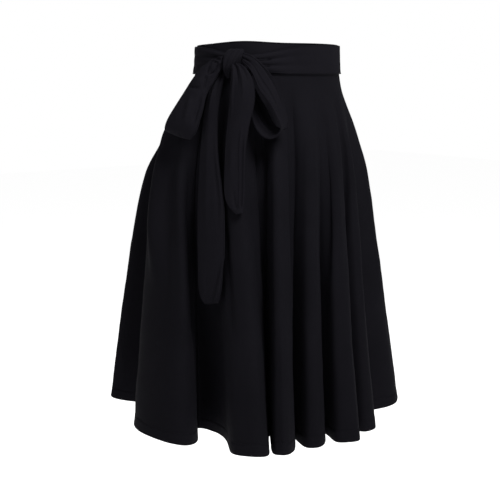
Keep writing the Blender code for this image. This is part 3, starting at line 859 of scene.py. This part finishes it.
# The bow's ribbons. Each rung gives the ribbon's two edges and how far its middle bows out between them.
Rung = namedtuple("Rung", "a_azimuth a_height a_stand b_azimuth b_height b_stand bow")
LOOP_BACK = table(
    Rung,
    (-68.9, -0.0200, 0.0150, -69.1, -0.0400, 0.0160, 0.002),
    (-73.5, -0.0240, 0.0210, -71.5, -0.0560, 0.0220, 0.006),
    (-79.5, -0.0400, 0.0320, -73.2, -0.0760, 0.0300, 0.008),
    (-84.5, -0.0680, 0.0410, -72.3, -0.0950, 0.0360, 0.007),
    (-87.4, -0.0910, 0.0475, -72.7, -0.1140, 0.0370, 0.006),
    (-90.4, -0.1160, 0.0500, -74.0, -0.1310, 0.0365, 0.004),
    (-93.0, -0.1287, 0.0430, -78.6, -0.1410, 0.0290, 0.002),
    (-94.4, -0.1220, 0.0320, -82.0, -0.1330, 0.0205, -0.002),
    (-92.5, -0.0960, 0.0240, -82.0, -0.1100, 0.0160, -0.003),
    (-88.0, -0.0680, 0.0180, -80.5, -0.0840, 0.0130, -0.002),
    (-80.5, -0.0420, 0.0120, -77.5, -0.0600, 0.0110, 0.000),
    (-71.5, -0.0290, 0.0095, -71.5, -0.0430, 0.0090, 0.000),
)
LOOP_FRONT = table(
    Rung,
    (-55.6, -0.0150, 0.0150, -55.4, -0.0290, 0.0190, 0.001),
    (-48.0, -0.0195, 0.0230, -48.2, -0.0430, 0.0320, 0.003),
    (-39.5, -0.0360, 0.0315, -42.8, -0.0680, 0.0480, 0.005),
    (-32.6, -0.0590, 0.0370, -37.8, -0.0835, 0.0570, 0.005),
    (-28.1, -0.0858, 0.0392, -33.4, -0.1000, 0.0611, 0.004),
    (-25.8, -0.1112, 0.0396, -30.9, -0.1160, 0.0618, 0.003),
    (-27.3, -0.1246, 0.0345, -32.1, -0.1306, 0.0553, 0.001),
    (-34.7, -0.1148, 0.0270, -38.0, -0.1381, 0.0452, -0.003),
    (-39.3, -0.0961, 0.0215, -43.7, -0.1280, 0.0350, -0.004),
    (-44.8, -0.0760, 0.0160, -48.0, -0.1060, 0.0250, -0.003),
    (-49.9, -0.0560, 0.0120, -51.5, -0.0780, 0.0170, -0.002),
    (-55.4, -0.0390, 0.0095, -55.6, -0.0520, 0.0110, 0.000),
)
TAIL_LONG = table(
    Rung,
    (-72.6, -0.0468, 0.0085, -67.4, -0.0462, 0.0100, 0.001),
    (-75.0, -0.0600, 0.0130, -68.0, -0.0600, 0.0130, 0.003),
    (-76.2, -0.0780, 0.0160, -68.2, -0.0780, 0.0160, 0.005),
    (-76.6, -0.1015, 0.0160, -67.8, -0.1010, 0.0170, 0.005),
    (-76.1, -0.1424, 0.0145, -65.8, -0.1415, 0.0183, 0.004),
    (-75.1, -0.1833, 0.0163, -62.5, -0.1814, 0.0258, 0.004),
    (-73.4, -0.2297, 0.0240, -58.6, -0.2237, 0.0383, 0.004),
    (-71.6, -0.2819, 0.0340, -56.7, -0.2748, 0.0510, 0.004),
    (-70.1, -0.3315, 0.0422, -56.4, -0.3222, 0.0586, 0.004),
    (-68.8, -0.3684, 0.0455, -57.4, -0.3575, 0.0611, 0.003),
    (-66.9, -0.3812, 0.0435, -58.7, -0.3751, 0.0595, 0.002),
)
TAIL_SHORT = table(
    Rung,
    (-61.0, -0.0330, 0.0272, -55.6, -0.0320, 0.0262, 0.001),
    (-59.5, -0.0430, 0.0350, -49.0, -0.0420, 0.0400, 0.005),
    (-58.9, -0.0600, 0.0390, -45.4, -0.0600, 0.0450, 0.007),
    (-58.8, -0.0870, 0.0380, -44.9, -0.0870, 0.0440, 0.007),
    (-59.4, -0.1160, 0.0330, -47.2, -0.1160, 0.0390, 0.006),
    (-59.8, -0.1490, 0.0310, -48.8, -0.1490, 0.0360, 0.005),
    (-59.2, -0.1893, 0.0350, -48.9, -0.1892, 0.0380, 0.005),
    (-57.2, -0.2274, 0.0439, -48.5, -0.2257, 0.0460, 0.004),
    (-51.9, -0.2452, 0.0525, -49.1, -0.2436, 0.0534, 0.002),
)

# Their gathers and creases, from the knot outwards. The front loop's last one, which runs right across it,
# makes its turn rounder and swings it further out than in the model.
LOOP_BACK_CREASES = table(
    Crease,
    (((0.16, 0.0), (0.2, 0.1)), 0.0014, 0.002, 0.0, 0.8),
    (((0.42, 0.0), (0.34, 0.1)), 0.0014, 0.002, 0.0, 0.8),
    (((0.7, 0.0), (0.8, 0.1)), 0.002, 0.0018, 0.0, 0.6),
    (((0.25, 0.01), (0.03, 0.065), (0.1, 0.11), (0.3, 0.13), (0.5, 0.145)), -0.0038, 0.0016, 0.1, 0.2),
    (((0.17, 0.1), (0.25, 0.06), (0.5, 0.06), (0.62, 0.09), (0.53, 0.14)), -0.003, 0.0015, 0.1, 0.2),
    (((0.14, 0.05), (0.16, 0.085), (0.38, 0.105), (0.52, 0.115)), 0.0024, 0.0017, 0.2, 0.3),
    (((0.66, 0.04), (0.86, 0.1), (0.97, 0.16)), 0.0022, 0.0018, 0.1, 0.3),
    (((0.45, 0.15), (0.68, 0.165), (0.86, 0.2)), -0.0026, 0.0026, 0.2, 0.3),
    (((0.02, 0.225), (0.36, 0.2), (0.66, 0.18)), 0.0013, 0.0032, 0.2, 0.3),
    (((0.02, 0.26), (0.38, 0.235), (0.74, 0.2)), -0.0026, 0.0026, 0.2, 0.5),
    (((0.44, 0.26), (0.5, 0.32), (0.56, 0.38), (0.58, 0.45)), 0.003, 0.0056, 0.3, 0.4),
    (((0.84, 0.2), (0.83, 0.3), (0.84, 0.42)), -0.0036, 0.0036, 0.3, 0.3),
    (((0.14, 0.3), (0.22, 0.44)), 0.001, 0.005, 0.3, 0.4),
    (((0.52, 0.49), (0.72, 0.52)), -0.0012, 0.003, 0.3, 0.4),
    (((0.3, 1.0), (0.36, 0.72)), 0.0016, 0.0022, 0.0, 0.7),
    (((0.7, 1.0), (0.62, 0.76)), 0.0016, 0.0022, 0.0, 0.7),
)
LOOP_FRONT_CREASES = table(
    Crease,
    (((0.5, 0.0), (0.55, 0.12)), 0.0014, 0.0018, 0.0, 0.7),
    (((0.3, 0.0), (0.3, 0.1)), -0.0012, 0.0016, 0.0, 0.7),
    (((0.85, 0.0), (0.86, 0.09)), 0.0016, 0.0018, 0.0, 0.6),
    (((0.07, 0.02), (0.08, 0.16), (0.12, 0.25), (0.13, 0.34), (0.16, 0.44)), 0.0013, 0.0022, 0.2, 0.3),
    (((0.55, 0.08), (0.5, 0.2), (0.52, 0.31), (0.56, 0.42)), 0.002, 0.0018, 0.2, 0.3),
    (((0.78, 0.1), (0.76, 0.22), (0.76, 0.32), (0.74, 0.4)), -0.0026, 0.0032, 0.2, 0.3),
    (((0.04, 0.56), (0.1, 0.68), (0.14, 0.8), (0.16, 0.92)), -0.0075, 0.006, 0.3, 0.3),
    (((0.5, 0.6), (0.56, 0.72), (0.6, 0.86)), 0.0018, 0.004, 0.3, 0.4),
    (((0.62, 1.0), (0.6, 0.82)), 0.0014, 0.0018, 0.0, 0.7),
    (((0.3, 1.0), (0.34, 0.86)), 0.0014, 0.0018, 0.0, 0.7),
    (((-0.3, 0.42), (0.5, 0.42), (1.3, 0.42)), 0.0045, 0.023, 0.1, 0.1),
)
TAIL_LONG_CREASES = table(
    Crease,
    (((0.16, 0.0), (0.1, 0.12), (0.16, 0.26)), 0.0024, 0.0018, 0.0, 0.6),
    (((0.34, 0.0), (0.3, 0.16)), -0.0018, 0.0016, 0.0, 0.7),
    (((0.52, 0.0), (0.46, 0.16), (0.44, 0.38)), 0.0026, 0.002, 0.0, 0.7),
    (((0.68, 0.0), (0.66, 0.14)), -0.0018, 0.0016, 0.0, 0.7),
    (((0.86, 0.0), (0.84, 0.14), (0.86, 0.26)), 0.0022, 0.0018, 0.0, 0.6),
    (((0.52, 0.3), (0.48, 0.47), (0.38, 0.62), (0.4, 0.76)), 0.0014, 0.005, 0.3, 0.4),
    (((0.9, 0.34), (0.93, 0.5), (0.93, 0.7)), 0.001, 0.0022, 0.3, 0.3),
    (((0.78, 0.44), (0.8, 0.58), (0.8, 0.72)), -0.001, 0.003, 0.3, 0.4),
    (((1.0, 0.76), (0.93, 0.84), (0.86, 0.91), (0.76, 0.99)), 0.002, 0.002, 0.2, 0.1),
    (((0.86, 0.78), (0.78, 0.85), (0.7, 0.92), (0.6, 0.99)), -0.0014, 0.0026, 0.3, 0.1),
    (((0.24, 0.78), (0.3, 0.96)), 0.0012, 0.0036, 0.4, 0.3),
)
TAIL_SHORT_CREASES = table(
    Crease,
    (((0.2, 0.0), (0.16, 0.2), (0.11, 0.36), (0.18, 0.52)), 0.0022, 0.0022, 0.0, 0.5),
    (((0.36, 0.0), (0.36, 0.18), (0.34, 0.32)), -0.0018, 0.002, 0.0, 0.6),
    (((0.56, 0.0), (0.57, 0.22), (0.56, 0.42)), 0.0022, 0.0024, 0.0, 0.6),
    (((0.72, 0.0), (0.76, 0.16), (0.76, 0.3)), -0.0014, 0.002, 0.0, 0.7),
    (((0.86, 0.0), (0.92, 0.12), (0.94, 0.34)), 0.0018, 0.0022, 0.0, 0.6),
    (((0.7, 0.5), (0.74, 0.66), (0.75, 0.82), (0.64, 0.97)), 0.002, 0.002, 0.2, 0.1),
    (((0.82, 0.54), (0.84, 0.68), (0.84, 0.84), (0.78, 0.96)), -0.001, 0.0021, 0.2, 0.1),
    (((0.93, 0.56), (0.94, 0.7), (0.91, 0.84), (0.9, 0.96)), 0.0018, 0.0016, 0.2, 0.1),
    (((0.3, 0.58), (0.34, 0.78)), 0.0012, 0.0042, 0.4, 0.4),
    (((0.46, 0.8), (0.42, 0.9), (0.38, 0.97)), -0.0012, 0.0026, 0.3, 0.2),
)


def ribbon_surface(rungs, shares, per_span):
    """A ribbon's middle face through its rungs."""
    edge_a = np.array([worn_point(r.a_azimuth, r.a_height, r.a_stand) for r in rungs])
    edge_b = np.array([worn_point(r.b_azimuth, r.b_height, r.b_stand) for r in rungs])
    edge_a = spline(edge_a, per_span)
    edge_b = spline(edge_b, per_span)
    bow = np.interp(np.linspace(0, 1, len(edge_a)), np.linspace(0, 1, len(rungs)), [r.bow for r in rungs])
    along = np.gradient((edge_a + edge_b) / 2, axis=0)
    out = np.cross(edge_b - edge_a, along)
    out /= -np.linalg.norm(out, axis=1, keepdims=True)
    crown = 4 * shares * (1 - shares) * bow[:, None]
    line = edge_a[:, None] + shares[:, None] * (edge_b - edge_a)[:, None]
    return line + crown[..., None] * out[:, None]


def make_ribbon(name, rungs, creases, seed, material):
    """One stretch of the sash. Its seen width is what its gathers and its lengthwise fold leave in sight."""
    widths = [
        np.linalg.norm(
            worn_point(r.a_azimuth, r.a_height, r.a_stand) - worn_point(r.b_azimuth, r.b_height, r.b_stand)
        )
        for r in rungs
    ]
    inset = RIBBON_WALL / 2 / np.mean(widths)
    grid = ribbon_surface(rungs, np.linspace(inset, 1 - inset, RIBBON_COLUMNS), RIBBON_PER_RUNG)
    grid = raised(grid, RIBBON_WALL / 2)
    grid = raised(grid, crease_relief(grid, creases) + uneven(grid, seed, drift=0.0008, rumple=0.0003))
    piece = thick_cloth(name + "_cloth", grid, RIBBON_WALL, material)
    dress(piece, "sash_knit", name)


# The knot is a soft wrap of the sash: rings from its top to its bottom
KnotRing = namedtuple("KnotRing", "height azimuth half_width inner outer")
KNOT = table(
    KnotRing,
    (-0.0090, -60.0, 0.0080, 0.0095, 0.0150),
    (-0.0125, -60.3, 0.0106, 0.0070, 0.0210),
    (-0.0200, -61.0, 0.0114, 0.0056, 0.0262),
    (-0.0280, -61.9, 0.0104, 0.0056, 0.0282),
    (-0.0360, -62.8, 0.0082, 0.0058, 0.0278),
    (-0.0440, -63.7, 0.0056, 0.0066, 0.0236),
    (-0.0520, -64.4, 0.0026, 0.0090, 0.0165),
)
KNOT_SQUARENESS = 0.62
KNOT_PLEAT = 0.0010
KNOT_PLEATS = 3.3          # half waves from the middle to either side
KNOT_PLEAT_LEAN = 0.25
KNOT_SIDES = 120
KNOT_RINGS = 60


def make_knot(material):
    knots = np.linspace(0, 1, len(KNOT))
    at = np.linspace(0, 1, KNOT_RINGS)
    height, azimuth, half_width, inner, outer = (
        hermite(knots, [getattr(ring, field) for ring in KNOT], at)[:, None] for field in KnotRing._fields
    )
    turn = np.linspace(0, 2 * math.pi, KNOT_SIDES, endpoint=False)[None, :]
    across = np.sign(np.cos(turn)) * np.abs(np.cos(turn)) ** KNOT_SQUARENESS
    through = np.sign(np.sin(turn)) * np.abs(np.sin(turn)) ** KNOT_SQUARENESS
    place = azimuth + np.degrees(half_width * across / fitted_reach(azimuth, height))
    stand = (outer + inner) / 2 + through * (outer - inner) / 2
    grid = worn_point(place, height + 0 * place, stand)
    front = np.clip(np.sin(turn), 0, 1) * np.sin(math.pi * at)[:, None] ** 0.5
    lean = KNOT_PLEAT_LEAN * (at[:, None] - 0.5)
    pleat = KNOT_PLEAT * front * np.cos(KNOT_PLEATS * math.pi * (across + lean))
    centre = grid.mean(axis=1, keepdims=True)
    away = grid - centre
    grid = grid + away / np.linalg.norm(away, axis=2, keepdims=True) * pleat[..., None]
    numbers = np.arange(KNOT_RINGS * KNOT_SIDES).reshape(KNOT_RINGS, KNOT_SIDES)
    wrapped = np.concatenate([numbers, numbers[:, :1]], axis=1)
    points = np.vstack([grid.reshape(-1, 3), grid[0].mean(axis=0), grid[-1].mean(axis=0)])
    top, bottom = len(points) - 2, len(points) - 1
    faces = quads(wrapped).tolist()
    for k in range(KNOT_SIDES):
        faces.append((top, wrapped[0, k], wrapped[0, k + 1]))
        faces.append((bottom, wrapped[-1, k + 1], wrapped[-1, k]))
    uv = np.vstack([np.stack(grid_lengths(grid), axis=-1).reshape(-1, 2), np.zeros((2, 2))])
    piece = mesh_object("sash_knot_cloth", points, faces, material, uv)
    dress(piece, "sash_knit", "sash_knot")


# The stage
def make_camera():
    around_axis = math.radians(VIEW_AZIMUTH)
    camera = placed("Camera", bpy.data.cameras.new("Camera"))
    camera.data.sensor_width = SENSOR
    camera.data.lens = FOCAL_PIXELS / PICTURE_PIXELS * SENSOR
    camera.location = (
        math.sin(around_axis) * VIEW_DISTANCE, -math.cos(around_axis) * VIEW_DISTANCE, VIEW_HEIGHT
    )
    pitch = math.atan(PICTURE_DOWN / FOCAL_PIXELS)
    aside = math.atan(PICTURE_LEFT / FOCAL_PIXELS)
    camera.rotation_euler = (math.pi / 2 - pitch, 0, around_axis + aside)
    bpy.context.scene.camera = camera


# Soft boxes: where each stands, seen from the garment, its size and its power
Softbox = namedtuple("Softbox", "name azimuth height distance size power")
SOFTBOXES = table(
    Softbox,
    ("Key", -4.0, 1.15, 1.15, 0.7, 40.0),
    ("Fill", -78.0, 1.1, 1.8, 1.0, 9.0),
    ("Back", 150.0, 0.9, 2.2, 1.4, 18.0),
)
LIGHT_TARGET = -0.15
WORLD_LIGHT = 0.15
FLOOR_HALF = 8.0
FLOOR_BASE = 0.80
FLOOR_GLOW = 0.86          # keeps the floor as white as the wall behind it


def make_lights():
    for box in SOFTBOXES:
        data = bpy.data.lights.new(box.name, "AREA")
        data.shape = "SQUARE"
        data.size = box.size
        data.energy = box.power
        light = placed(box.name, data)
        place = np.append(polar(box.azimuth, box.distance), box.height)
        light.location = place
        toward = np.array([0, 0, LIGHT_TARGET]) - place
        flat = math.hypot(toward[0], toward[1])
        light.rotation_euler = (math.atan2(flat, -toward[2]), 0, math.atan2(-toward[0], toward[1]))


def make_world():
    """White all round, seen at full brightness and lighting the cloth more gently."""
    world = bpy.data.worlds.new("Studio")
    world.use_nodes = True
    tree = world.node_tree
    soft = tree.nodes["Background"]
    set_sockets(soft, {"Color": (1, 1, 1, 1), "Strength": WORLD_LIGHT})
    seen = add_node(tree, "ShaderNodeBackground", Color=(1, 1, 1, 1), Strength=1.0)
    path = tree.nodes.new("ShaderNodeLightPath")
    mix = tree.nodes.new("ShaderNodeMixShader")
    tree.links.new(path.outputs["Is Camera Ray"], mix.inputs["Fac"])
    tree.links.new(soft.outputs["Background"], mix.inputs[1])
    tree.links.new(seen.outputs["Background"], mix.inputs[2])
    tree.links.new(mix.outputs["Shader"], tree.nodes["World Output"].inputs["Surface"])
    bpy.context.scene.world = world
    bpy.context.scene.view_settings.view_transform = "Standard"


def make_floor():
    material = new_material(
        "Floor", Base_Color=(FLOOR_BASE, FLOOR_BASE, FLOOR_BASE, 1), Roughness=0.9, Specular_IOR_Level=0.1,
        Emission_Color=(1, 1, 1, 1), Emission_Strength=FLOOR_GLOW,
    )[0]
    corners = [(-1, -1), (1, -1), (1, 1), (-1, 1)]
    points = [(x * FLOOR_HALF, y * FLOOR_HALF, FLOOR_HEIGHT) for x, y in corners]
    mesh_object("Floor", points, [(0, 1, 2, 3)], material)


SKIRT_COLOUR = (0.0050, 0.0047, 0.0063)
# The band's and the sash's colour is painted lighter than the skirt's: painted light standing in for the
# brighter light on the garment's top
SASH_COLOUR_WITH_PAINTED_LIGHT = (0.0058, 0.0054, 0.0073)


def main():
    make_camera()
    make_world()
    make_lights()
    make_floor()
    skirt_knit = knit_material("skirt_jersey", SKIRT_COLOUR)
    # band and sash take the lighter colour with painted light on the garment's top
    band_knit = knit_material("band_jersey", SASH_COLOUR_WITH_PAINTED_LIGHT)
    sash_knit = knit_material("sash_jersey", SASH_COLOUR_WITH_PAINTED_LIGHT)
    thread = thread_material("hem_thread", SKIRT_COLOUR)
    make_skirt(skirt_knit, thread)
    make_waistband(band_knit)
    make_sash(sash_knit)
    make_knot(sash_knit)
    make_ribbon("bow_loop_back", LOOP_BACK, LOOP_BACK_CREASES, 81, sash_knit)
    make_ribbon("bow_loop_front", LOOP_FRONT, LOOP_FRONT_CREASES, 91, sash_knit)
    make_ribbon("sash_tail_long", TAIL_LONG, TAIL_LONG_CREASES, 101, sash_knit)
    make_ribbon("sash_tail_short", TAIL_SHORT, TAIL_SHORT_CREASES, 111, sash_knit)


main()
